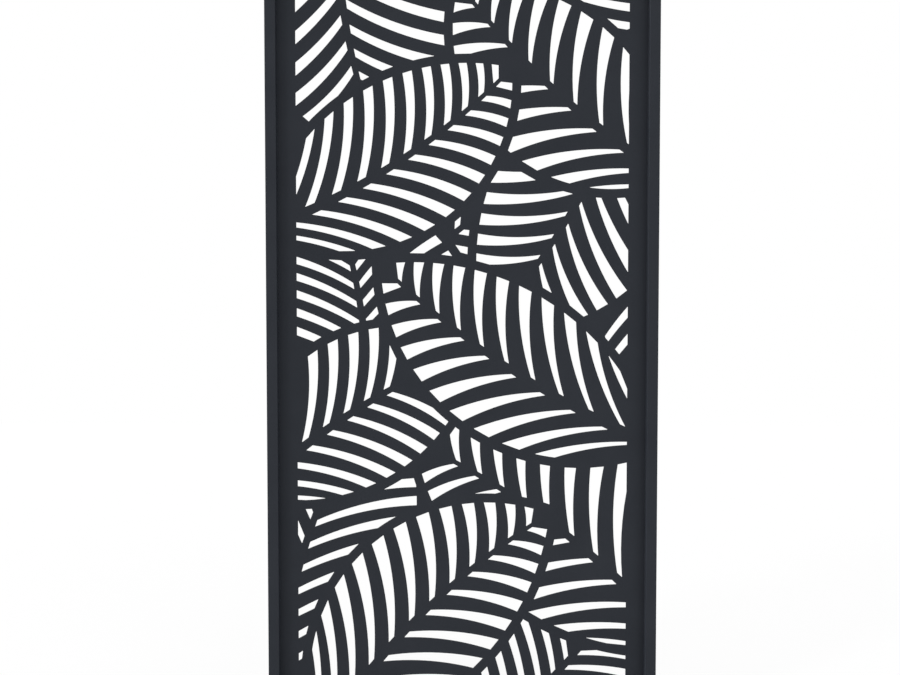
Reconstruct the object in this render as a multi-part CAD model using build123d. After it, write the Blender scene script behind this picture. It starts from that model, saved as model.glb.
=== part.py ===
from build123d import *
import math
import os

# Framed decorative screen panel that stands on the floor.
#
# A sheet cut with overlapping leaves is held by its edges in the grooves of four mitred
# frame members. Corner keys inside the members join the frame, and two foot plates on
# rubber pads carry it. Lengths are in millimetres. X runs across the panel, Y from its
# front to its back, Z up. The origin is on the floor, under the middle of the panel.

# Whole panel
panel_width = 900.0
panel_height = 1800.0
mitre_gap = 0.15
cut_overrun = 1.0

# Frame members, a hollow section with a groove for the sheet
frame_face = 25.0
frame_depth = 50.0
frame_wall = 2.0
frame_edge_radius = 1.5
groove_depth = 14.0

# Leaf sheet
sheet_thickness = 3.0
plain_border = 42.5

# Leaves cut in the sheet
outline_web = 21.0
midrib_root_width = 26.0
midrib_tip_width = 8.0
vein_pitch = 56.0
narrowest_slot = 4.0
smallest_slot = 12.0
straight_end = 45.0
vein_sweep_share = 0.30
vein_bow_share = -0.05
vein_crowding_share = 0.35
arc_overrun_share = 0.15

# Edge seals, a soft channel over each edge of the sheet
seal_wall = 1.0
seal_slack = 0.15
seal_end_gap = 1.0
seal_setback = 0.5

# Corner keys, two in each corner
key_reach = 72.0
key_slack = 0.25
key_lead = 3.0

# Corner screws, button heads on the back of the frame
screw_radius = 2.5
screw_head_radius = 4.75
screw_head_height = 2.75
screw_crown_radius = 3.1
screw_socket = 3.0
screw_socket_depth = 1.6
screw_grip = 9.75
screw_from_key_end = 18.0

# Foot bolts, countersunk from below
bolt_radius = 4.0
bolt_head_radius = 7.8
bolt_socket = 5.0
bolt_socket_depth = 2.4
bolt_grip = 14.75

# Every screw and bolt
fastener_sides = 12
thread_slack = 0.05
hole_slack = 0.25

# Foot plates
foot_length = 400.0
foot_width = 60.0
foot_thickness = 8.0
foot_corner_radius = 12.0
anchor_radius = 4.5
anchor_offset = 130.0

# Foot pads
pad_length = 36.0
pad_width = 44.0
pad_thickness = 4.0
pad_corner = 6.0
pad_from_foot_end = 8.0

# Sizes that follow from the ones above
frame_bottom = pad_thickness + foot_thickness
frame_middle = frame_bottom + panel_height / 2
frame_front = frame_depth / 2
groove_half = sheet_thickness / 2 + seal_wall + seal_slack
groove_floor = frame_face - groove_depth
chamber_near = groove_half + frame_wall
chamber_far = frame_front - frame_wall
chamber_middle = (chamber_near + chamber_far) / 2
sheet_edge = groove_floor + seal_end_gap + seal_wall
sheet_width = panel_width - 2 * sheet_edge
sheet_height = panel_height - 2 * sheet_edge
window_width = panel_width - 2 * (frame_face + plain_border)
window_height = panel_height - 2 * (frame_face + plain_border)
screw_reach = key_reach - screw_from_key_end
bolt_length = foot_thickness + frame_wall + key_slack + bolt_grip
foot_middle = (panel_width - foot_width) / 2
pad_middle = foot_length / 2 - pad_from_foot_end - pad_length / 2

# Ways that a row or a pair of like things runs
ways = (-1, 1)

# Leaves from the front one to the one furthest back. Base and tip are shares of the
# window, from its lower left corner. The bow of the midrib and the half widths to its
# left and right are shares of the leaf's length. The pitch of the veins is a share of
# the usual one. The last two are the shares of a pitch that a slot takes, at the midrib
# and at the margin.
leaf_shares = [
    # base x, base z, tip x, tip z, bow, left, right, pitch, at midrib, at margin
    (1.10, 0.34, 0.24, 0.60, 0.05, 0.22, 0.24, 1.05, 0.14, 0.58),
    (-0.12, 0.64, 0.66, 0.87, -0.06, 0.27, 0.25, 0.90, 0.34, 0.48),
    (0.06, -0.08, 0.78, 0.25, 0.06, 0.27, 0.24, 1.00, 0.24, 0.56),
    (1.14, 0.71, 0.48, 0.985, 0.05, 0.27, 0.28, 1.05, 0.12, 0.58),
    (-0.16, 0.27, 0.56, 0.48, 0.05, 0.27, 0.28, 0.85, 0.30, 0.50),
    (1.18, 0.05, 0.34, 0.35, -0.06, 0.26, 0.30, 1.05, 0.18, 0.58),
    (0.12, 1.14, 0.26, 0.74, -0.05, 0.36, 0.32, 0.95, 0.36, 0.46),
    (1.06, 0.92, 0.56, 0.50, 0.06, 0.30, 0.27, 0.95, 0.16, 0.58),
    (0.20, 0.30, 0.10, 0.70, -0.06, 0.36, 0.40, 0.75, 0.34, 0.50),
    (-0.08, -0.04, 0.26, 0.44, 0.06, 0.24, 0.30, 0.85, 0.30, 0.52),
    (0.70, 1.16, 0.98, 0.78, -0.05, 0.40, 0.40, 0.80, 0.40, 0.46),
    (0.90, 0.22, 0.26, 0.46, 0.08, 0.28, 0.28, 0.80, 0.34, 0.50),
    (0.44, -0.12, 1.04, 0.17, -0.05, 0.36, 0.32, 0.75, 0.30, 0.52),
    (0.40, 1.16, 0.52, 0.70, -0.04, 0.36, 0.36, 0.85, 0.36, 0.48),
    (-0.02, 0.50, 0.72, 0.74, -0.05, 0.30, 0.30, 0.85, 0.30, 0.50),
    (0.98, 0.28, 0.80, 0.66, -0.05, 0.36, 0.36, 0.80, 0.36, 0.48),
]


def on_arc(start, end, rise, share):
    """Point at a share of the arc from start to end that rises to the left of its chord.

    Points in the plane of the sheet are complex numbers, x + z * 1j.
    """
    chord = end - start
    half_turn = 2 * math.atan2(2 * rise, abs(chord))
    if half_turn == 0:
        return start + chord * share
    reach = math.sin(half_turn * share) / math.sin(half_turn)
    turn = half_turn * (1 - share)
    return start + chord * reach * complex(math.cos(turn), math.sin(turn))


def flat(point):
    """The point as the pair that a line or an arc takes."""
    return (point.real, point.imag)


def arc_through(points):
    return ThreePointArc(*[flat(point) for point in points])


def face_between(one_arc, other_arc):
    """Face between two arcs, closed by a straight line at each end."""
    start_line = Line(other_arc @ 0, one_arc @ 0)
    end_line = Line(one_arc @ 1, other_arc @ 1)
    return Face(Wire([one_arc, end_line, other_arc, start_line]))


def crowded(share):
    """The share moved on so that even steps of it shrink steadily up to its end."""
    return share + vein_crowding_share * share * (1 - share)


def faces_left(result):
    """Faces that a cut leaves, which can be none."""
    return result.faces() if result else []


class Leaf:
    """A pointed leaf, with a bowed midrib between two bowed margins.

    A side is 1 to the left of the way from base to tip, and -1 to its right.
    """

    def __init__(self, shares):
        base_x, base_z, tip_x, tip_z, bow, left, right, pitch, root_slot, margin_slot = shares
        window = complex(window_width, window_height)
        self.base = complex(base_x * window.real, base_z * window.imag) - window / 2
        self.tip = complex(tip_x * window.real, tip_z * window.imag) - window / 2
        self.length = abs(self.tip - self.base)
        self.to_left = 1j * (self.tip - self.base) / self.length
        self.bow = bow * self.length
        self.half_width = {1: left * self.length, -1: right * self.length}
        self.pitch = pitch * vein_pitch
        self.root_slot = root_slot
        self.margin_slot = margin_slot
        self.cover = self.outline(outline_web / 2)

    def on_midrib(self, share):
        return on_arc(self.base, self.tip, self.bow, share)

    def on_margin(self, side, share):
        rise = self.bow + side * self.half_width[side]
        return on_arc(self.base, self.tip, rise, share)

    def outline(self, growth):
        """The leaf with its margins moved outwards, which is what two discs share."""
        discs = []
        for side in ways:
            rise = self.bow + side * self.half_width[side]
            centre_rise = (rise - self.length**2 / 4 / rise) / 2
            centre = (self.base + self.tip) / 2 + self.to_left * centre_rise
            disc = Circle(abs(rise - centre_rise) + growth)
            discs.append(Pos(*flat(centre)) * disc)
        return discs[0] & discs[1]

    def midrib(self):
        """The solid web along the middle, which narrows towards the tip."""
        edges = []
        for side in ways:
            points = []
            for share in (-arc_overrun_share, 1 / 2, 1 + arc_overrun_share):
                width = midrib_root_width + share * (midrib_tip_width - midrib_root_width)
                points.append(self.on_midrib(share) + side * self.to_left * width / 2)
            edges.append(arc_through(points))
        return face_between(*edges)

    def vein_edge(self, side, root_share, margin_share):
        """Bowed line from the midrib to the margin, run on past both."""
        start = self.on_midrib(root_share)
        way = self.on_margin(side, margin_share) - start
        points = []
        for share in (-arc_overrun_share, 1 / 2, 1 + arc_overrun_share):
            bow = side * vein_bow_share * 4 * share * (1 - share)
            points.append(start + way * complex(share, bow))
        return arc_through(points)

    def strips(self, side):
        """Faces between the veins on one side, before anything trims them.

        A vein that ends at a share of the margin leaves the midrib further back, so all
        of them lean forwards, and they crowd together towards the tip.
        """
        lean = math.atan2(self.half_width[side], vein_sweep_share * self.length * 2 / 3)
        run = self.length * math.sin(lean) / (1 - vein_sweep_share)
        count = max(1, round(run / self.pitch))
        faces = []
        for number in range(count):
            edges = []
            for way in ways:
                margin = crowded((number + (1 + way * self.margin_slot) / 2) / count)
                root = crowded((number + (1 + way * self.root_slot) / 2) / count)
                root = (root - vein_sweep_share) / (1 - vein_sweep_share)
                edges.append(self.vein_edge(side, root, margin))
            faces.append(face_between(*edges))
        return faces

    def slots(self, leaves_in_front):
        """The slots of this leaf, as far as no leaf in front of it hides them."""
        found = []
        window = Rectangle(window_width, window_height)
        for half in faces_left(self.outline(-outline_web / 2) - self.midrib()):
            middle = complex(half.center().X, half.center().Y) - self.on_midrib(1 / 2)
            side = 1 if (middle / self.to_left).real > 0 else -1
            shown = faces_left(window & half)
            for leaf in leaves_in_front:
                shown = [rest for face in shown for rest in faces_left(face - leaf.cover)]
            for strip in self.strips(side):
                found += [slot for face in shown for slot in faces_left(face & strip)]
        return found


def is_open_enough(slot):
    """Whether a slot is wide and large enough to be cut and coated."""
    mean_width = 2 * slot.area / slot.outer_wire().length
    return mean_width > narrowest_slot and slot.area > smallest_slot**2


def slot_outline(slot):
    """The slot's outline, with its short ends made straight."""
    edges = []
    for edge in slot.outer_wire().order_edges():
        edges.append(edge if edge.length > straight_end else Line(edge @ 0, edge @ 1))
    return Wire(edges)


def make_leaf_sheet():
    """One face with all its slots as holes, thickened to the sheet."""
    leaves = [Leaf(shares) for shares in leaf_shares]
    slots = []
    for number, leaf in enumerate(leaves):
        slots += leaf.slots(leaves[:number])
    outlines = [slot_outline(slot) for slot in slots if is_open_enough(slot)]
    blank = Rectangle(sheet_width, sheet_height).face()
    face = Face(blank.outer_wire(), outlines)
    sheet = extrude(Plane.XZ * face, sheet_thickness, dir=(0, 1, 0))
    return Pos(0, -sheet_thickness / 2, frame_middle) * sheet


def frame_section():
    """Section of a frame member, its outer face on the X axis and its groove above."""
    blank = Pos(0, frame_face / 2) * Rectangle(frame_depth, frame_face)
    section = fillet(blank.vertices(), frame_edge_radius)
    section -= Pos(0, groove_floor + groove_depth) * Rectangle(
        2 * groove_half, 2 * groove_depth)
    chamber_width = chamber_far - chamber_near
    for way in ways:
        section -= Pos(way * chamber_middle, frame_face / 2) * Rectangle(
            chamber_width, frame_face - 2 * frame_wall)
    core_height = groove_floor - 2 * frame_wall
    section -= Pos(0, frame_wall + core_height / 2) * Rectangle(2 * groove_half, core_height)
    return section


def seal_section():
    """Section of an edge seal, a channel that clasps the edge of the sheet."""
    bottom = sheet_edge - seal_wall
    top = frame_face - seal_setback
    channel = Pos(0, (bottom + top) / 2) * Rectangle(sheet_thickness + 2 * seal_wall, top - bottom)
    return channel - Pos(0, sheet_edge + top) * Rectangle(sheet_thickness, 2 * top)


def mitred_bar(section, length):
    """A bar along X from a section in Y and Z, cut at 45 degrees at both ends."""
    bar = Pos(-length / 2, 0, 0) * extrude(Plane.YZ * section, length, dir=(1, 0, 0))
    for way in ways:
        mitre = Plane(origin=(way * length / 2, 0, 0), z_dir=(way, 0, 1))
        bar = split(bar, mitre.offset(-mitre_gap / 2), keep=Keep.BOTTOM)
    return bar


def on_side(turn):
    """Moves a bar that was made along X to a side of the frame, the bottom one at no turn."""
    across = panel_width if turn % 180 else panel_height
    return Pos(0, 0, frame_middle) * Rot(0, turn, 0) * Pos(0, 0, -across / 2)


def rod(radius, length):
    """A rod down from Z = 0, with few sides because a screw has many copies."""
    return extrude(RegularPolygon(radius, fastener_sides), -length)


def tapered(top_radius, bottom_radius, length):
    """A tapered rod down from Z = 0."""
    top = RegularPolygon(top_radius, fastener_sides)
    return loft([Pos(0, 0, -length) * RegularPolygon(bottom_radius, fastener_sides), top])


def countersunk_rod(radius, head_radius, length):
    """A rod down from Z = 0, where its 90 degree head is as wide as head_radius."""
    return tapered(head_radius, radius, head_radius - radius) + rod(radius, length)


def hex_socket(across_flats, depth):
    """Cutter for a socket that opens at Z = 0."""
    return extrude(RegularPolygon(across_flats / 2, 6, major_radius=False), -depth)


def make_corner_screw():
    """Button head screw that stands on Z = 0 with its shank below."""
    head = tapered(screw_crown_radius, screw_head_radius, screw_head_height)
    head -= hex_socket(screw_socket, screw_socket_depth)
    shank = rod(screw_radius, frame_wall + key_slack + screw_grip)
    return Pos(0, 0, screw_head_height) * head + shank


def make_foot_bolt():
    """Countersunk bolt, its head flush with Z = 0."""
    bolt = countersunk_rod(bolt_radius, bolt_head_radius, bolt_length)
    return bolt - hex_socket(bolt_socket, bolt_socket_depth)


def screw_places():
    """Where the corner screws seat on the back of the frame, Z outwards."""
    places = []
    for side_x in ways:
        for side_z in ways:
            edge_x = side_x * panel_width / 2
            edge_z = frame_middle + side_z * panel_height / 2
            for along_x, along_z in ((screw_reach, frame_face / 2), (frame_face / 2, screw_reach)):
                place = Pos(edge_x - side_x * along_x, frame_front, edge_z - side_z * along_z)
                places.append(place * Rot(-90, 0, 0))
    return places


def bolt_places():
    """Where the foot bolts seat under the foot plates, Z outwards."""
    places = []
    for side_x in ways:
        for side_y in ways:
            place = Pos(side_x * foot_middle, side_y * chamber_middle, pad_thickness)
            places.append(place * Rot(180, 0, 0))
    return places


def drill(shape, places, cutter):
    return shape - [place * cutter for place in places]


def make_frame_member(length, turn):
    member = on_side(turn) * mitred_bar(frame_section(), length)
    wall_hole = rod(screw_radius + hole_slack, frame_wall + key_slack)
    member = drill(member, screw_places(), wall_hole)
    foot_hole = rod(bolt_radius + hole_slack, foot_thickness + frame_wall + key_slack)
    return drill(member, bolt_places(), foot_hole)


def make_corner_key(side_x, side_y, side_z):
    """An L with a leg in each of the two members that meet at the corner."""
    near = frame_wall + key_slack
    far = frame_face - near
    depth = chamber_far - chamber_near - 2 * key_slack
    legs = []
    for axis in (Axis.X, Axis.Z):
        reach = (key_reach, far) if axis == Axis.X else (far, key_reach)
        leg = Box(reach[0] - near, depth, reach[1] - near, align=Align.MIN)
        legs.append(chamfer(leg.faces().sort_by(axis)[-1].edges(), key_lead))
    key = Pos(near, side_y * chamber_middle - depth / 2, near) * (legs[0] + legs[1])
    key = Pos(-panel_width / 2, 0, frame_bottom) * key
    if side_x > 0:
        key = mirror(key, Plane.YZ)
    if side_z > 0:
        key = mirror(key, Plane.XY.offset(frame_middle))
    screw_hole = rod(screw_radius + thread_slack, frame_wall + key_slack + screw_grip + hole_slack)
    key = drill(key, screw_places(), screw_hole)
    return drill(key, bolt_places(), rod(bolt_radius + thread_slack, bolt_length + hole_slack))


def make_foot_plate(side_x):
    """Flat bar across the panel, countersunk from below for its bolts."""
    plate = extrude(RectangleRounded(foot_width, foot_length, foot_corner_radius), foot_thickness)
    plate = Pos(side_x * foot_middle, 0, pad_thickness) * plate
    seat = countersunk_rod(bolt_radius + hole_slack, bolt_head_radius + hole_slack,
                           foot_thickness + cut_overrun)
    plate = drill(plate, bolt_places(), seat)
    anchor_places = [Pos(side_x * foot_middle, way * anchor_offset, frame_bottom + cut_overrun)
                     for way in ways]
    anchor_hole = Cylinder(anchor_radius, foot_thickness + 2 * cut_overrun,
                           align=(Align.CENTER, Align.CENTER, Align.MAX))
    return drill(plate, anchor_places, anchor_hole)


def make_foot_pad(side_x, side_y):
    outline = Rectangle(pad_width, pad_length)
    pad = extrude(chamfer(outline.vertices(), pad_corner), pad_thickness)
    return Pos(side_x * foot_middle, side_y * pad_middle, 0) * pad


def place_all(shape, places):
    """One piece at each of many places, as a group of separate solids."""
    return Compound([place * shape for place in places])


parts = {"leaf_sheet": make_leaf_sheet()}

# Frame members and seals, one on each side of the sheet
rail_names = {"bottom": 0, "top": 180}
stile_names = {"left": 90, "right": -90}
for side, turn in (rail_names | stile_names).items():
    length = panel_width if side in rail_names else panel_height
    kind = "rail" if side in rail_names else "stile"
    parts[f"{side}_{kind}"] = make_frame_member(length, turn)
    parts[f"{side}_edge_seal"] = on_side(turn) * mitred_bar(seal_section(), length)

# Corner keys and foot parts
side_names_x = {"left": -1, "right": 1}
side_names_y = {"front": -1, "rear": 1}
side_names_z = {"bottom": -1, "top": 1}
for name_x, side_x in side_names_x.items():
    for name_y, side_y in side_names_y.items():
        for name_z, side_z in side_names_z.items():
            key = make_corner_key(side_x, side_y, side_z)
            parts[f"{name_y}_key_{name_z}_{name_x}"] = key
        parts[f"{name_x}_{name_y}_foot_pad"] = make_foot_pad(side_x, side_y)
    parts[f"{name_x}_foot_plate"] = make_foot_plate(side_x)

# Fasteners
parts["rear_corner_screws"] = place_all(make_corner_screw(), screw_places())
parts["foot_bolts"] = place_all(make_foot_bolt(), bolt_places())

os.makedirs("parts", exist_ok=True)
for name, shape in parts.items():
    export_step(shape, f"parts/{name}.step")
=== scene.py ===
import math

import bpy
import numpy as np
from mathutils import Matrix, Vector, geometry


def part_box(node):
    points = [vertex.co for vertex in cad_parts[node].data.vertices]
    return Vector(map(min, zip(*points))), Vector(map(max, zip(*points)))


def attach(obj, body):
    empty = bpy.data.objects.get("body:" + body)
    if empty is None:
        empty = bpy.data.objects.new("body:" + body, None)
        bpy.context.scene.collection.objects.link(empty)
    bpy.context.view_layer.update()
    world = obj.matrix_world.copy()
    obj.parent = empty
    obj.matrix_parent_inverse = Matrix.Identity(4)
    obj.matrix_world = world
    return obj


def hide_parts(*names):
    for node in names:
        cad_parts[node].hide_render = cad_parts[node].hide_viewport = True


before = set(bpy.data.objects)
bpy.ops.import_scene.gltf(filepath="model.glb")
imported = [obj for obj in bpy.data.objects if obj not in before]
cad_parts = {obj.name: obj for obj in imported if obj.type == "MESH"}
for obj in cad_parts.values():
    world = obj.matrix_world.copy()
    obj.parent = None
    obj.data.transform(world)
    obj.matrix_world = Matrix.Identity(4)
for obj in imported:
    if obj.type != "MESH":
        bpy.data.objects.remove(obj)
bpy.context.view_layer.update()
scene = bpy.context.scene
scene.view_settings.view_transform = "Standard"

# Leaf sheet
# Aluminium sheet 3 mm thick, cut through by a laser with a pattern of overlapping leaves.
# It is powder coated in matt anthracite, and the coat rounds every cut edge a little.
mm = 0.001
sheet_edge_radius = 0.35 * mm
slot_corner_radius = 0.5 * mm
weld_step = 0.01 * mm
face_steps = 5
corner_turn = math.radians(9)
arc_step = math.radians(1.6)
arc_error = 0.05 * mm
corner_share_of_side = 0.45
triangles_inside = 1
fill_tolerance = 1e-9
triangles_at_once = 1000
anthracite = (0.0147, 0.0175, 0.0233)
anthracite_pale = (0.0256, 0.0289, 0.0362)
dust_colour = (0.1150, 0.1150, 0.1130)


def front_outlines(node):
    """Outlines of a sheet's front face as complex numbers, X + Z j, the metal to their left.

    The front face has the triangles within a few weld steps of the lowest Y. A border edge
    is one that a single triangle of it runs along, and each border point knows the next
    one. Doubling that step again and again tells every point which outline it is on, and
    how many steps it is from that outline's first point.
    """
    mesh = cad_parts[node].data
    mesh.calc_loop_triangles()
    points = np.empty(3 * len(mesh.vertices))
    mesh.vertices.foreach_get("co", points)
    corners = np.empty(3 * len(mesh.loop_triangles), dtype=np.int32)
    mesh.loop_triangles.foreach_get("vertices", corners)
    points = points.reshape(-1, 3)
    grid = np.round(points / weld_step).astype(np.int64)
    grid, first, number = np.unique(grid, axis=0, return_index=True, return_inverse=True)
    points = points[first]
    triangles = number.ravel()[corners].reshape(-1, 3)
    front = triangles[(grid[triangles, 1] < grid[:, 1].min() + face_steps).all(axis=1)]
    count = len(points)
    start = front.ravel()
    end = np.roll(front, -1, axis=1).ravel()
    border = ~np.isin(start * count + end, end * count + start)
    following = np.arange(count)
    following[start[border]] = end[border]
    outline, jump = np.arange(count), following.copy()
    for _ in range(count.bit_length()):
        outline = np.minimum(outline, outline[jump])
        jump = jump[jump]
    is_first = outline == np.arange(count)
    steps = np.where(is_first, 0, 1)
    jump = np.where(is_first, outline, following)
    for _ in range(count.bit_length()):
        steps = steps + steps[jump]
        jump = jump[jump]
    used = start[border]
    used = used[np.lexsort((-steps[used], outline[used]))]
    cuts = np.flatnonzero(np.diff(outline[used])) + 1
    flat = points[:, 0] + 1j * points[:, 2]
    return [flat[part] for part in np.split(used, cuts)]


def turns(loop):
    """Angle that a closed row of points turns through at each point."""
    ahead = np.roll(loop, -1) - loop
    return np.angle(ahead / np.roll(ahead, 1))


def with_true_arcs(loop):
    """The outline with each chain of short chords drawn as the arc that it stands for.

    The chain from one corner to the next lies on the circle through its first, middle
    and last point, and new points are set along that circle at even angles.
    """
    is_corner = np.abs(turns(loop)) > corner_turn
    loop = np.roll(loop, -np.flatnonzero(is_corner)[0])
    corners = np.flatnonzero(np.abs(turns(loop)) > corner_turn)
    closed = np.append(loop, loop[0])
    runs = []
    for low, high in zip(corners, np.append(corners[1:], len(loop))):
        chain = closed[low:high + 1]
        runs.append(chain[:-1])
        if len(chain) < 3:
            continue
        a, b, c = chain[0], chain[len(chain) // 2], chain[-1]
        w = (c - a) / (b - a)
        centre = a + (b - a) * (w - abs(w) ** 2) / (2j * w.imag)
        if np.ptp(np.abs(chain - centre)) > arc_error:
            continue
        sweep = np.angle((c - centre) / (a - centre))
        count = math.ceil(abs(sweep) / arc_step)
        runs[-1] = centre + (a - centre) * np.exp(1j * sweep * np.arange(count) / count)
    return np.concatenate(runs)


def rounded(loop, radius, steps=4):
    """The outline with each corner replaced by an arc that touches both of its sides.

    The arc is the weighted curve from one touching point to the other. A weight of the
    cosine of half the turn at the corner makes it an exact part of a circle. It takes
    most of the half of a side and no more, so that the arcs at its two ends never meet.
    """
    back, ahead = np.roll(loop, 1) - loop, np.roll(loop, -1) - loop
    turn = np.abs(turns(loop))
    shorter_side = np.minimum(abs(back), abs(ahead))
    reach = np.minimum(radius * np.tan(turn / 2), corner_share_of_side * shorter_side)
    is_corner = turn > corner_turn
    reach = np.where(is_corner, reach, 0)
    share = np.linspace(0, 1, steps + 1)
    low, middle, high = (1 - share) ** 2, 2 * share * (1 - share), share ** 2
    middle = middle * np.cos(turn / 2)[:, None]
    start = (loop + reach * back / abs(back))[:, None]
    end = (loop + reach * ahead / abs(ahead))[:, None]
    arcs = (start * low + loop[:, None] * middle + end * high) / (low + middle + high)
    keep = np.repeat(is_corner[:, None], steps + 1, axis=1)
    keep[:, 0] = True
    return arcs[keep]


def closed_face(loops):
    """Triangles that fill the outlines, whose points are numbered in one row.

    The outlines' edges are joined up into triangles. A triangle is in the metal when a
    line from its middle along X crosses the outlines an odd number of times.
    """
    points = np.concatenate(loops)
    following = np.concatenate([
        np.roll(np.arange(len(loop)), -1) + offset
        for loop, offset in zip(loops, np.cumsum([0] + [len(loop) for loop in loops]))])
    edges = np.stack([np.arange(len(points)), following], axis=1)
    pairs = np.stack([points.real, points.imag], axis=1) / mm
    found = geometry.delaunay_2d_cdt(
        list(map(Vector, pairs.tolist())), edges.tolist(), [], triangles_inside, fill_tolerance)
    source = np.array([numbers[0] for numbers in found[3]])
    triangles = source[np.array(found[2])]
    middle = points[triangles].mean(axis=1)
    start, end = points, points[following]
    inside = []
    for part in np.array_split(middle, math.ceil(len(middle) / triangles_at_once)):
        z = part.imag[:, None]
        spans = (start.imag <= z) != (end.imag <= z)
        rise = np.where(start.imag == end.imag, 1, end.imag - start.imag)
        x = start.real + (z - start.imag) / rise * (end.real - start.real)
        inside.append((spans & (x > part.real[:, None])).sum(axis=1) % 2 == 1)
    return triangles[np.concatenate(inside)]


def walled(loops, profiles):
    """Points, quads and triangles of a solid whose walls stand on flat outlines.

    A profile has rows of distance into the material and height, from the lower face to
    the upper one. Each row moves its outline sideways along the line that halves every
    corner and sets it at its height. Flat triangles then close both faces.
    """
    sizes = [len(loop) for loop in loops]
    offsets = np.cumsum([0] + sizes)
    count, rows = offsets[-1], len(profiles[0])
    points = np.empty((rows, count, 3))
    following = np.empty(count, dtype=np.int64)
    for loop, profile, offset in zip(loops, profiles, offsets):
        ahead = np.roll(loop, -1) - loop
        inward = 1j * ahead / abs(ahead)
        before = np.roll(inward, 1)
        inward = (before + inward) / (1 + (before * inward.conj()).real)
        place = slice(offset, offset + len(loop))
        profile = np.asarray(profile, dtype=float)
        moved = loop + profile[:, :1] * inward
        points[:, place, 0] = moved.real
        points[:, place, 1] = moved.imag
        points[:, place, 2] = profile[:, 1:]
        following[place] = np.roll(np.arange(len(loop)), -1) + offset
    start = np.arange(count) + count * np.arange(rows - 1)[:, None]
    end = following + count * np.arange(rows - 1)[:, None]
    quads = np.stack([start, end, end + count, start + count], axis=-1).reshape(-1, 4)
    faces = []
    for row in (0, rows - 1):
        flat = points[row, :, 0] + 1j * points[row, :, 1]
        faces.append(closed_face(np.split(flat, offsets[1:-1])) + row * count)
    triangles = np.concatenate([faces[0][:, ::-1], faces[1]])
    return points.reshape(-1, 3), quads, triangles


def edge_profile(low, high, radius, steps=3):
    """Profile of a straight wall with a quarter circle at its lower and upper edge."""
    angle = np.linspace(0, math.pi / 2, steps + 1)
    inset = radius * (1 - np.sin(angle))
    rise = radius * (1 - np.cos(angle))
    lower = np.stack([inset, low + rise], axis=1)
    upper = np.stack([inset, high - rise], axis=1)[::-1]
    return np.concatenate([lower, upper])


def add_piece(name, points, quads, triangles, material, slot_name, *nodes):
    """A piece of the object from whole arrays, with normals that favour its large faces."""
    mesh = bpy.data.meshes.new(name)
    corners = np.concatenate([np.ravel(quads), np.ravel(triangles)]).astype(np.int32)
    sides = np.concatenate([np.full(len(quads), 4), np.full(len(triangles), 3)])
    mesh.vertices.add(len(points))
    mesh.vertices.foreach_set("co", np.ravel(points).astype(np.float32))
    mesh.loops.add(len(corners))
    mesh.loops.foreach_set("vertex_index", corners)
    mesh.polygons.add(len(sides))
    mesh.polygons.foreach_set("loop_start", (np.cumsum(sides) - sides).astype(np.int32))
    mesh.update(calc_edges=True)
    mesh.validate()
    mesh.shade_smooth()
    mesh.materials.append(material)
    piece = bpy.data.objects.new(name, mesh)
    scene.collection.objects.link(piece)
    normals = piece.modifiers.new("large faces lead", "WEIGHTED_NORMAL")
    normals.mode = "FACE_AREA"
    normals.keep_sharp = True
    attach(piece, "root")
    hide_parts(*nodes)
    return piece


def add_node(tree, kind, inputs=None, **settings):
    """A shader node. An input is a plain value, or the socket that feeds it."""
    node = tree.nodes.new(kind)
    for name, value in settings.items():
        setattr(node, name, value)
    for key, value in (inputs or {}).items():
        if isinstance(value, bpy.types.NodeSocket):
            tree.links.new(value, node.inputs[key])
        else:
            node.inputs[key].default_value = value
    return node


def new_group(name, inputs, outputs):
    """An empty shader group with its sockets, and its input and output nodes."""
    group = bpy.data.node_groups.new(name, "ShaderNodeTree")
    for socket, kind, value in inputs:
        made = group.interface.new_socket(socket, in_out="INPUT", socket_type=kind)
        if value is not None:
            made.default_value = value
    for socket, kind in outputs:
        group.interface.new_socket(socket, in_out="OUTPUT", socket_type=kind)
    return group, group.nodes.new("NodeGroupInput"), group.nodes.new("NodeGroupOutput")


def noise(tree, place, scale, detail=2.0, roughness=0.5):
    """Soft noise between 0 and 1, with scale patches to a metre."""
    return add_node(tree, "ShaderNodeTexNoise", {
        "Vector": place, "Scale": scale, "Detail": detail, "Roughness": roughness,
    }, noise_dimensions="3D").outputs["Fac"]


def ranged(tree, value, before, after):
    """The value carried evenly from one range to another, and held at its ends."""
    return add_node(tree, "ShaderNodeMapRange", {
        "Value": value, "From Min": before[0], "From Max": before[1],
        "To Min": after[0], "To Max": after[1]}, clamp=True).outputs["Result"]


def times(tree, one, other):
    return add_node(tree, "ShaderNodeMath", {0: one, 1: other}, operation="MULTIPLY").outputs[0]


def plus(tree, one, other):
    return add_node(tree, "ShaderNodeMath", {0: one, 1: other}, operation="ADD").outputs[0]


def mixed(tree, share, one, other):
    """One colour faded into another by a share. The node's sockets for them are 6 and 7."""
    one, other = (colour if isinstance(colour, bpy.types.NodeSocket) else (*colour, 1)
                  for colour in (one, other))
    return add_node(tree, "ShaderNodeMix", {
        "Factor": share, 6: one, 7: other}, data_type="RGBA").outputs[2]


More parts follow.
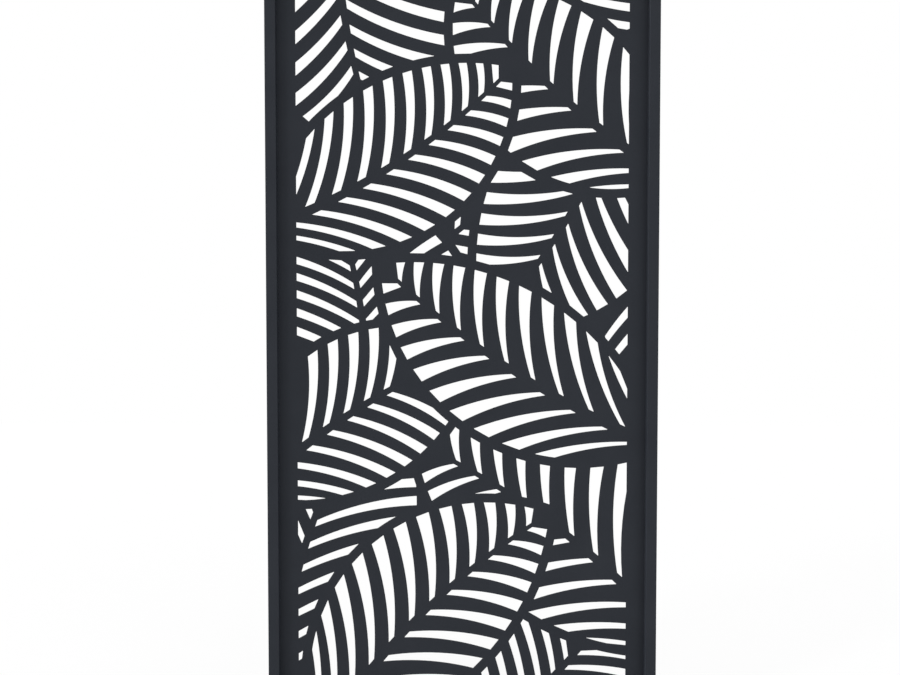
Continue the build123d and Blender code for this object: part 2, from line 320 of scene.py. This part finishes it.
coat_texture, group_in, group_out = new_group(
    "coat texture",
    [("Place", "NodeSocketVector", None), ("Grain", "NodeSocketFloat", 700.0)],
    [("Height", "NodeSocketFloat"), ("Tone", "NodeSocketFloat"), ("Gloss", "NodeSocketFloat")])
place, grain = group_in.outputs["Place"], group_in.outputs["Grain"]
fine = noise(coat_texture, place, grain, detail=3.0)
peel_scale = times(coat_texture, grain, 0.28)
peel = noise(coat_texture, place, peel_scale)
speck_scale = times(coat_texture, grain, 0.9)
speck = noise(coat_texture, place, speck_scale, detail=3.0, roughness=0.7)
cloud = noise(coat_texture, place, scale=7.0, detail=4.0, roughness=0.6)
coat_texture.links.new(
    plus(coat_texture, times(coat_texture, fine, 0.6), times(coat_texture, peel, 0.8)),
    group_out.inputs["Height"])
coat_texture.links.new(
    plus(coat_texture, ranged(coat_texture, cloud, (0.3, 0.7), (0.0, 0.4)),
         ranged(coat_texture, speck, (0.38, 0.66), (0.0, 0.6))),
    group_out.inputs["Tone"])
coat_texture.links.new(
    plus(coat_texture, times(coat_texture, cloud, 0.6), times(coat_texture, fine, 0.4)),
    group_out.inputs["Gloss"])

settled_dust, group_in, group_out = new_group(
    "settled dust",
    [("Place", "NodeSocketVector", None), ("Amount", "NodeSocketFloat", 0.3)],
    [("Mask", "NodeSocketFloat")])
facing = add_node(settled_dust, "ShaderNodeNewGeometry").outputs["Normal"]
upward = add_node(settled_dust, "ShaderNodeSeparateXYZ", {0: facing}).outputs["Z"]
patches = noise(settled_dust, group_in.outputs["Place"], scale=55.0, detail=6.0, roughness=0.75)
settled = times(settled_dust, ranged(settled_dust, upward, (0.35, 1.0), (0.0, 1.0)),
                ranged(settled_dust, patches, (0.35, 0.75), (0.45, 1.0)))
settled_dust.links.new(times(settled_dust, settled, group_in.outputs["Amount"]),
                       group_out.inputs["Mask"])


def new_material(name):
    """A material with its node tree, its shader and the place on the object."""
    material = bpy.data.materials.new(name)
    material.use_nodes = True
    tree = material.node_tree
    place = add_node(tree, "ShaderNodeTexCoord").outputs["Object"]
    return material, tree, tree.nodes["Principled BSDF"], place


def add_bump(tree, shader, height, strength, depth):
    bump = add_node(tree, "ShaderNodeBump", {
        "Height": height, "Strength": strength, "Distance": depth})
    tree.links.new(bump.outputs["Normal"], shader.inputs["Normal"])


def dusted(tree, place, amount, colour):
    """The colour with dust over it where the surface faces up."""
    settled = add_node(tree, "ShaderNodeGroup", {"Place": place, "Amount": amount},
                       node_tree=settled_dust)
    return mixed(tree, settled.outputs["Mask"], colour, dust_colour)


def powder_coat(name, grain_scale, dust):
    """Matt powder coat: a fine orange peel, a faint cloudy tone and dust on upward faces."""
    material, tree, shader, place = new_material(name)
    texture = add_node(tree, "ShaderNodeGroup", {"Place": place, "Grain": grain_scale},
                       node_tree=coat_texture)
    coat = mixed(tree, texture.outputs["Tone"], anthracite, anthracite_pale)
    tree.links.new(dusted(tree, place, dust, coat), shader.inputs["Base Color"])
    tree.links.new(ranged(tree, texture.outputs["Gloss"], (0.3, 0.7), (0.47, 0.60)),
                   shader.inputs["Roughness"])
    shader.inputs["Specular IOR Level"].default_value = 0.14
    add_bump(tree, shader, texture.outputs["Height"], strength=0.5, depth=0.14 * mm)
    return material


sheet_front, sheet_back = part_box("leaf_sheet")[0][1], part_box("leaf_sheet")[1][1]
outlines = [rounded(with_true_arcs(loop), slot_corner_radius)
            for loop in front_outlines("leaf_sheet")]
profile = edge_profile(-sheet_back, -sheet_front, sheet_edge_radius)
points, quads, triangles = walled(outlines, [profile] * len(outlines))
sheet_coat = powder_coat("sheet powder coat", grain_scale=700.0, dust=0.12)
add_piece("cut_leaf_sheet", points[:, [0, 2, 1]] * (1, -1, 1), quads, triangles,
          sheet_coat, "sheet_coating", "leaf_sheet")

# Frame members
# Four lengths of one hollow aluminium extrusion, with a groove that takes the sheet.
# They are mitred at the corners, coated like the sheet and drawn tight over the keys.
frame_face = 25 * mm
frame_depth = 50 * mm
frame_wall = 2 * mm
frame_edge_radius = 1.5 * mm
groove_half = 2.65 * mm
groove_floor = 11 * mm
groove_lip_radius = 0.5 * mm
inner_corner_radius = 0.4 * mm
mitre_edge_radius = 0.3 * mm
mitre_gap_along = 0.106 * mm
panel_low, panel_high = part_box("bottom_rail")[0][2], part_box("top_rail")[1][2]
panel_left, panel_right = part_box("left_stile")[0][0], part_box("right_stile")[1][0]
panel_width = panel_right - panel_left
panel_height = panel_high - panel_low
panel_middle = (panel_low + panel_high) / 2
member_turns = {"bottom": 0, "top": math.pi, "left": math.pi / 2, "right": -math.pi / 2}
member_kinds = {"bottom": "rail", "top": "rail", "left": "stile", "right": "stile"}


def box_outline(low_x, low_z, high_x, high_z):
    """Corners of a rectangle, run round to its left."""
    return np.array([low_x + 1j * low_z, high_x + 1j * low_z,
                     high_x + 1j * high_z, low_x + 1j * high_z])


def mitred_member(loops, side):
    """A section carried along one side of the panel and cut at 45 degrees at both ends.

    The section's width is depth Y and its height is the distance from the outer face.
    Each end is drawn back by that height, then the member turns about Y to its side.
    """
    length, across = panel_width, panel_height
    if member_kinds[side] == "stile":
        length, across = across, length
    profile = edge_profile(-length / 2, length / 2, mitre_edge_radius)
    points, quads, triangles = walled(loops, [profile] * len(loops))
    depth, height, along = points.T
    along = along - np.sign(along) * (height + mitre_gap_along)
    out = height - across / 2
    turn = member_turns[side]
    cosine, sine = round(math.cos(turn)), round(math.sin(turn))
    placed = np.stack([cosine * along + sine * out, depth,
                       cosine * out - sine * along + panel_middle], axis=1)
    return placed, quads, triangles


frame_outline = np.array([
    -frame_depth / 2, frame_depth / 2, frame_depth / 2 + 1j * frame_face,
    groove_half + 1j * frame_face, groove_half + 1j * groove_floor,
    -groove_half + 1j * groove_floor, -groove_half + 1j * frame_face,
    -frame_depth / 2 + 1j * frame_face])
frame_radii = np.array([frame_edge_radius] * 3 + [groove_lip_radius]
                       + [inner_corner_radius] * 2 + [groove_lip_radius, frame_edge_radius])
chamber_near = groove_half + frame_wall
chamber_far = frame_depth / 2 - frame_wall
chambers = [
    box_outline(chamber_near, frame_wall, chamber_far, frame_face - frame_wall),
    box_outline(-chamber_far, frame_wall, -chamber_near, frame_face - frame_wall),
    box_outline(-groove_half, frame_wall, groove_half, groove_floor - frame_wall)]
frame_loops = [rounded(frame_outline, frame_radii, steps=5)]
frame_loops += [rounded(chamber[::-1], inner_corner_radius, steps=2) for chamber in chambers]
frame_coat = powder_coat("frame powder coat", grain_scale=620.0, dust=0.20)
for side, kind in member_kinds.items():
    node = f"{side}_{kind}"
    add_piece(f"{node}_extrusion", *mitred_member(frame_loops, side),
              frame_coat, "frame_coating", node)

# Edge seals
# Extruded black rubber channels, pushed over the edges of the sheet before it goes in the
# groove, so that it can't rattle. Their soft lips end just below the mouth of the groove.
seal_half = 2.5 * mm
seal_low = 12 * mm
seal_high = 24.5 * mm
sheet_half = 1.5 * mm
sheet_edge = 13 * mm
seal_lip_radius = 0.4 * mm
rubber_black = (0.0065, 0.0065, 0.0072)
rubber_bloom = (0.0175, 0.0177, 0.0185)


def rubber(name, grain_scale, dust):
    """Dull black rubber with a mottled bloom and a moulded grain."""
    material, tree, shader, place = new_material(name)
    bloom = noise(tree, place, scale=60.0, detail=5.0, roughness=0.65)
    pores = noise(tree, place, grain_scale, detail=3.0)
    base = mixed(tree, ranged(tree, bloom, (0.35, 0.75), (0.0, 1.0)), rubber_black, rubber_bloom)
    tree.links.new(dusted(tree, place, dust, base), shader.inputs["Base Color"])
    tree.links.new(ranged(tree, bloom, (0.3, 0.7), (0.62, 0.8)), shader.inputs["Roughness"])
    shader.inputs["Specular IOR Level"].default_value = 0.25
    add_bump(tree, shader, pores, strength=0.4, depth=0.08 * mm)
    return material


seal_outline = np.array([
    -seal_half + 1j * seal_low, seal_half + 1j * seal_low, seal_half + 1j * seal_high,
    sheet_half + 1j * seal_high, sheet_half + 1j * sheet_edge, -sheet_half + 1j * sheet_edge,
    -sheet_half + 1j * seal_high, -seal_half + 1j * seal_high])
seal_loops = [rounded(seal_outline, seal_lip_radius, steps=3)]
seal_material = rubber("seal rubber", grain_scale=1500.0, dust=0.2)
for side in member_turns:
    node = f"{side}_edge_seal"
    add_piece(f"{node}_channel", *mitred_member(seal_loops, side),
              seal_material, "seal_rubber", node)

# Corner keys
# L-shaped keys cast in aluminium, two in each corner, one before and one behind the
# groove. They fit in the chambers of the frame. Screws hold the rear ones, and bolts hold
# the four at the bottom.
cast_grey = (0.39, 0.40, 0.42)
cast_dark = (0.27, 0.28, 0.30)


def cast_aluminium(name):
    """Bare cast metal, mottled darker, with a fine grain."""
    material, tree, shader, place = new_material(name)
    mottle = noise(tree, place, scale=160.0, detail=5.0, roughness=0.65)
    grain = noise(tree, place, scale=1400.0)
    tree.links.new(
        mixed(tree, ranged(tree, mottle, (0.35, 0.7), (0.0, 1.0)), cast_grey, cast_dark),
        shader.inputs["Base Color"])
    tree.links.new(ranged(tree, mottle, (0.3, 0.7), (0.42, 0.58)), shader.inputs["Roughness"])
    shader.inputs["Metallic"].default_value = 1.0
    add_bump(tree, shader, grain, strength=0.5, depth=0.06 * mm)
    return material


key_material = cast_aluminium("cast aluminium")
for name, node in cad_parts.items():
    if "_key_" in name:
        node.data.materials.clear()
        node.data.materials.append(key_material)

# Corner screws
# Button head screws in blackened steel, with a hexagon socket, two at each rear corner.
# They pass through the back wall of the frame into the rear corner keys.
round_sides = 48
sharp_turn = 35
screw_from_corner = 54 * mm
screw_rows = [
    # radius and height in millimetres, from the end of the shank to the floor of the socket
    (0.0, -11.9), (2.1, -12.0), (2.5, -11.5), (2.5, -0.12), (2.62, 0.0), (4.6, 0.0),
    (4.75, 0.12), (4.75, 0.4), (4.60, 0.95), (4.20, 1.50), (3.60, 2.02), (2.90, 2.42),
    (2.30, 2.64), (1.95, 2.75), (1.80, 2.74), (1.50, 2.55), (1.50, 1.15), (0.0, 0.95)]
screw_socket_rows = (15, 16)
black_oxide = (0.0086, 0.0086, 0.0100)
rubbed_oxide = (0.0380, 0.0380, 0.0410)


def turned(rows, socket_rows):
    """A profile turned about Z, whose socket rows are hexagons and not circles.

    A socket row's radius is the distance from the middle to a flat. It is divided by the
    cosine of the angle to the nearest flat. A point at the axis closes each end.
    """
    rows, sides = np.array(rows) * mm, round_sides
    angle = np.arange(sides) * 2 * math.pi / sides
    stretch = np.ones((len(rows), sides))
    sixth = math.pi / 3
    stretch[list(socket_rows)] = 1 / np.cos((angle + sixth / 2) % sixth - sixth / 2)
    rings = slice(1, -1)
    radius = rows[rings, :1] * stretch[rings]
    height = np.broadcast_to(rows[rings, 1:], radius.shape)
    grid = np.stack([radius * np.cos(angle), radius * np.sin(angle), height], axis=-1)
    count = len(grid)
    points = np.concatenate([grid.reshape(-1, 3), [[0, 0, rows[0, 1]], [0, 0, rows[-1, 1]]]])
    start = np.arange(sides) + sides * np.arange(count - 1)[:, None]
    end = np.roll(np.arange(sides), -1) + sides * np.arange(count - 1)[:, None]
    quads = np.stack([start, end, end + sides, start + sides], axis=-1).reshape(-1, 4)
    one, other = np.arange(sides), np.roll(np.arange(sides), -1)
    low, high = np.full(sides, count * sides), np.full(sides, count * sides + 1)
    top = (count - 1) * sides
    triangles = np.concatenate([np.stack([other, one, low], axis=1),
                                np.stack([one + top, other + top, high], axis=1)])
    return points, quads, triangles


def placed_copies(shape, places):
    """Copies of a shape, each turned by three columns of its own array and moved by one."""
    points, quads, triangles = shape
    places = np.array(places)
    copies = np.einsum("nij,pj->npi", places[:, :, :3], points) + places[:, None, :, 3]
    shift = np.arange(len(places))[:, None, None] * len(points)
    return (copies.reshape(-1, 3), (quads + shift).reshape(-1, 4),
            (triangles + shift).reshape(-1, 3))


def blackened_steel(name):
    """Oiled black oxide on steel, rubbed paler in patches, with a fine grain."""
    material, tree, shader, place = new_material(name)
    rubbed = noise(tree, place, scale=420.0, detail=4.0)
    grain = noise(tree, place, scale=5200.0)
    tree.links.new(
        mixed(tree, ranged(tree, rubbed, (0.4, 0.75), (0.0, 1.0)), black_oxide, rubbed_oxide),
        shader.inputs["Base Color"])
    tree.links.new(ranged(tree, grain, (0.3, 0.7), (0.26, 0.42)), shader.inputs["Roughness"])
    shader.inputs["Metallic"].default_value = 0.6
    add_bump(tree, shader, grain, strength=0.25, depth=0.02 * mm)
    return material


def add_fasteners(name, shape, places, node):
    """Copies of one screw or bolt as one piece, with its sharp turns kept."""
    piece = add_piece(name, *placed_copies(shape, places), steel_material, "screw_steel", node)
    piece.data.set_sharp_from_angle(angle=math.radians(sharp_turn))


steel_material = blackened_steel("blackened steel")
frame_back = frame_depth / 2
screw_places = []
for side_x, edge_x in ((-1, panel_left), (1, panel_right)):
    for side_z, edge_z in ((-1, panel_low), (1, panel_high)):
        for along_x, along_z in ((screw_from_corner, frame_face / 2),
                                 (frame_face / 2, screw_from_corner)):
            screw_places.append([[1, 0, 0, edge_x - side_x * along_x],
                                 [0, 0, 1, frame_back],
                                 [0, -1, 0, edge_z - side_z * along_z]])
add_fasteners("button_head_screws", turned(screw_rows, screw_socket_rows), screw_places,
              "rear_corner_screws")

# Foot plates
# Steel flat bar, one under each end of the bottom rail, cut with round corners.
# Two holes in each take anchors in the floor. The bolts come up from below.
plate_edge_radius = 0.8 * mm
plate_corner_radius = 12 * mm
anchor_radius = 4.5 * mm
anchor_offset = 130 * mm
bolt_hole_radius = 4.25 * mm
bolt_seat_radius = 8.05 * mm
chamber_middle = (chamber_near + chamber_far) / 2


def hole(centre, radius):
    """A circle run round to its right, so that the metal is to its left."""
    return centre + radius * np.exp(-2j * math.pi * np.arange(round_sides) / round_sides)


plate_coat = powder_coat("foot powder coat", grain_scale=520.0, dust=0.26)
for side in ("left", "right"):
    node = f"{side}_foot_plate"
    (low_x, low_y, low_z), (high_x, high_y, high_z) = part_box(node)
    middle = (low_x + high_x) / 2
    wall = edge_profile(low_z, high_z, plate_edge_radius)
    heights = np.linspace(low_z, high_z, len(wall))
    flare = np.maximum(bolt_seat_radius - bolt_hole_radius - (heights - low_z), 0)
    seat = np.stack([flare, heights], axis=1)
    loops = [rounded(box_outline(low_x, low_y, high_x, high_y), plate_corner_radius, steps=12)]
    loops += [hole(middle + 1j * way * anchor_offset, anchor_radius) for way in (-1, 1)]
    loops += [hole(middle + 1j * way * chamber_middle, bolt_hole_radius) for way in (-1, 1)]
    walls = [wall, wall, wall, seat, seat]
    add_piece(f"{side}_foot_flat_bar", *walled(loops, walls), plate_coat, "foot_coating", node)

# Foot bolts
# Countersunk bolts in the same blackened steel, with a hexagon socket, flush under the foot
# plates. They run up through the bottom rail into the corner keys.
bolt_rows = [
    (0.0, -24.9), (3.5, -25.0), (4.0, -24.5), (4.0, -3.9), (7.6, -0.3), (7.8, -0.1),
    (7.6, 0.0), (3.1, 0.0), (2.9, -0.05), (2.5, -0.35), (2.5, -2.4), (0.0, -2.7)]
bolt_socket_rows = (9, 10)
plate_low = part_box("left_foot_plate")[0][2]
plate_middles = [sum(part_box(f"{side}_foot_plate")[end][0] for end in (0, 1)) / 2
                 for side in ("left", "right")]
bolt_places = [[[1, 0, 0, middle], [0, -1, 0, way * chamber_middle], [0, 0, -1, plate_low]]
               for middle in plate_middles for way in (-1, 1)]
add_fasteners("countersunk_bolts", turned(bolt_rows, bolt_socket_rows), bolt_places,
              "foot_bolts")

# Foot pads
# Moulded rubber pads bonded under the ends of the foot plates. They keep the steel off
# the floor and the bolts clear of it.
pad_edge_radius = 0.9 * mm
pad_corner_radius = 8 * mm
pad_material = rubber("pad rubber", grain_scale=900.0, dust=0.0)
for side in ("left", "right"):
    for end in ("front", "rear"):
        node = f"{side}_{end}_foot_pad"
        (low_x, low_y, low_z), (high_x, high_y, high_z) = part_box(node)
        loop = rounded(box_outline(low_x, low_y, high_x, high_y), pad_corner_radius, steps=8)
        wall = edge_profile(low_z, high_z, pad_edge_radius)
        add_piece(f"{node}_moulding", *walled([loop], [wall]), pad_material, "pad_rubber", node)

# Floor
# A pale seamless floor that ends behind the panel. It keeps the panel's soft shadow, and
# glows for the camera, with painted contact shade where ambient occlusion dims the glow close
# under things.
floor_left, floor_right = -7.0, 7.0
floor_front, floor_back = -4.5, 5.96
floor_pale = (0.88, 0.88, 0.88)
floor_paler = (0.90, 0.90, 0.90)
shadow_reach = 0.15
glow_strength = 0.958
glow_share = 0.8


def seen_rays(tree):
    """1 for what the camera sees, straight, in a reflection or through glass, or else 0."""
    path = add_node(tree, "ShaderNodeLightPath").outputs
    mirrored = add_node(tree, "ShaderNodeMath", {
        0: path["Is Camera Ray"], 1: path["Is Glossy Ray"]}, operation="MAXIMUM")
    return add_node(tree, "ShaderNodeMath", {
        0: mirrored.outputs[0], 1: path["Is Transmission Ray"]}, operation="MAXIMUM").outputs[0]


floor_mesh = bpy.data.meshes.new("floor")
floor_mesh.from_pydata(
    [(floor_left, floor_front, 0), (floor_right, floor_front, 0),
     (floor_right, floor_back, 0), (floor_left, floor_back, 0)], [], [(0, 1, 2, 3)])
floor = bpy.data.objects.new("floor", floor_mesh)
scene.collection.objects.link(floor)
floor_material, floor_tree, floor_shader, floor_place = new_material("pale floor")
floor_tone = noise(floor_tree, floor_place, scale=3.0, detail=4.0)
floor_tree.links.new(mixed(floor_tree, floor_tone, floor_pale, floor_paler),
                     floor_shader.inputs["Base Color"])
floor_shader.inputs["Roughness"].default_value = 0.9
floor_shader.inputs["Specular IOR Level"].default_value = 0.1
# Painted contact shade: ambient occlusion dims the floor's glow where the panel and its feet
# stand close over it.
floor_contact_shade = add_node(floor_tree, "ShaderNodeAmbientOcclusion", {"Distance": shadow_reach},
                      samples=8)
floor_glow = add_node(floor_tree, "ShaderNodeEmission", {
    "Strength": times(floor_tree, floor_contact_shade.outputs["AO"], glow_strength)})
floor_share = times(floor_tree, seen_rays(floor_tree), glow_share)
floor_mix = add_node(floor_tree, "ShaderNodeMixShader", {0: floor_share})
floor_tree.links.new(floor_shader.outputs[0], floor_mix.inputs[1])
floor_tree.links.new(floor_glow.outputs[0], floor_mix.inputs[2])
floor_tree.links.new(floor_mix.outputs[0], floor_tree.nodes["Material Output"].inputs["Surface"])
floor_mesh.materials.append(floor_material)

# Light
# A white surround lights the panel from all sides. A key lamp in front and to the left lays
# the left stile's soft shadow on the sheet, and a fill lamp to the right opens it. The side
# lamps light the inner faces of the stiles, and a rear lamp lights the back.
white = (1, 1, 1, 1)
surround_seen = 1.0
surround_lit = 0.63
lamp_distance = 6.0
surround = bpy.data.worlds.new("white surround")
scene.world = surround
surround.use_nodes = True
surround_tree = surround.node_tree
surround_tree.nodes.clear()
seen = add_node(surround_tree, "ShaderNodeBackground", {
    "Color": white, "Strength": surround_seen})
lit = add_node(surround_tree, "ShaderNodeBackground", {
    "Color": white, "Strength": surround_lit})
surround_mix = add_node(surround_tree, "ShaderNodeMixShader", {0: seen_rays(surround_tree)})
surround_tree.links.new(lit.outputs[0], surround_mix.inputs[1])
surround_tree.links.new(seen.outputs[0], surround_mix.inputs[2])
surround_out = add_node(surround_tree, "ShaderNodeOutputWorld")
surround_tree.links.new(surround_mix.outputs[0], surround_out.inputs["Surface"])


def add_lamp(name, energy, spread, way_round, height):
    """A lamp with even rays from way_round degrees left of the camera, height degrees up."""
    data = bpy.data.lights.new(name, "SUN")
    data.energy = energy
    data.angle = math.radians(spread)
    lamp = bpy.data.objects.new(name, data)
    way_round, height = math.radians(way_round), math.radians(height)
    away = Vector((-math.sin(way_round) * math.cos(height),
                   -math.cos(way_round) * math.cos(height), math.sin(height)))
    lamp.location = lamp_distance * away
    lamp.rotation_euler = (-away).to_track_quat("-Z", "Y").to_euler()
    scene.collection.objects.link(lamp)


add_lamp("key lamp", energy=0.52, spread=10, way_round=47, height=30)
add_lamp("fill lamp", energy=0.38, spread=40, way_round=-35, height=30)
add_lamp("left side lamp", energy=2.56, spread=12, way_round=86, height=25)
add_lamp("right side lamp", energy=0.30, spread=20, way_round=-82, height=25)
add_lamp("rear lamp", energy=0.90, spread=60, way_round=165, height=35)

# Camera
# Just over a metre up and just under three from the panel, tilted down a little, so that
# the top and the foot of the panel run out of the frame.
camera_place = (-0.0284, -2.8895, 1.038)
camera_tilt = 2.73
camera_data = bpy.data.cameras.new("camera")
camera_data.lens = 50
camera_data.sensor_width = 36
camera = bpy.data.objects.new("camera", camera_data)
camera.location = camera_place
camera.rotation_euler = (math.radians(90 - camera_tilt), 0, 0)
scene.collection.objects.link(camera)
scene.camera = camera
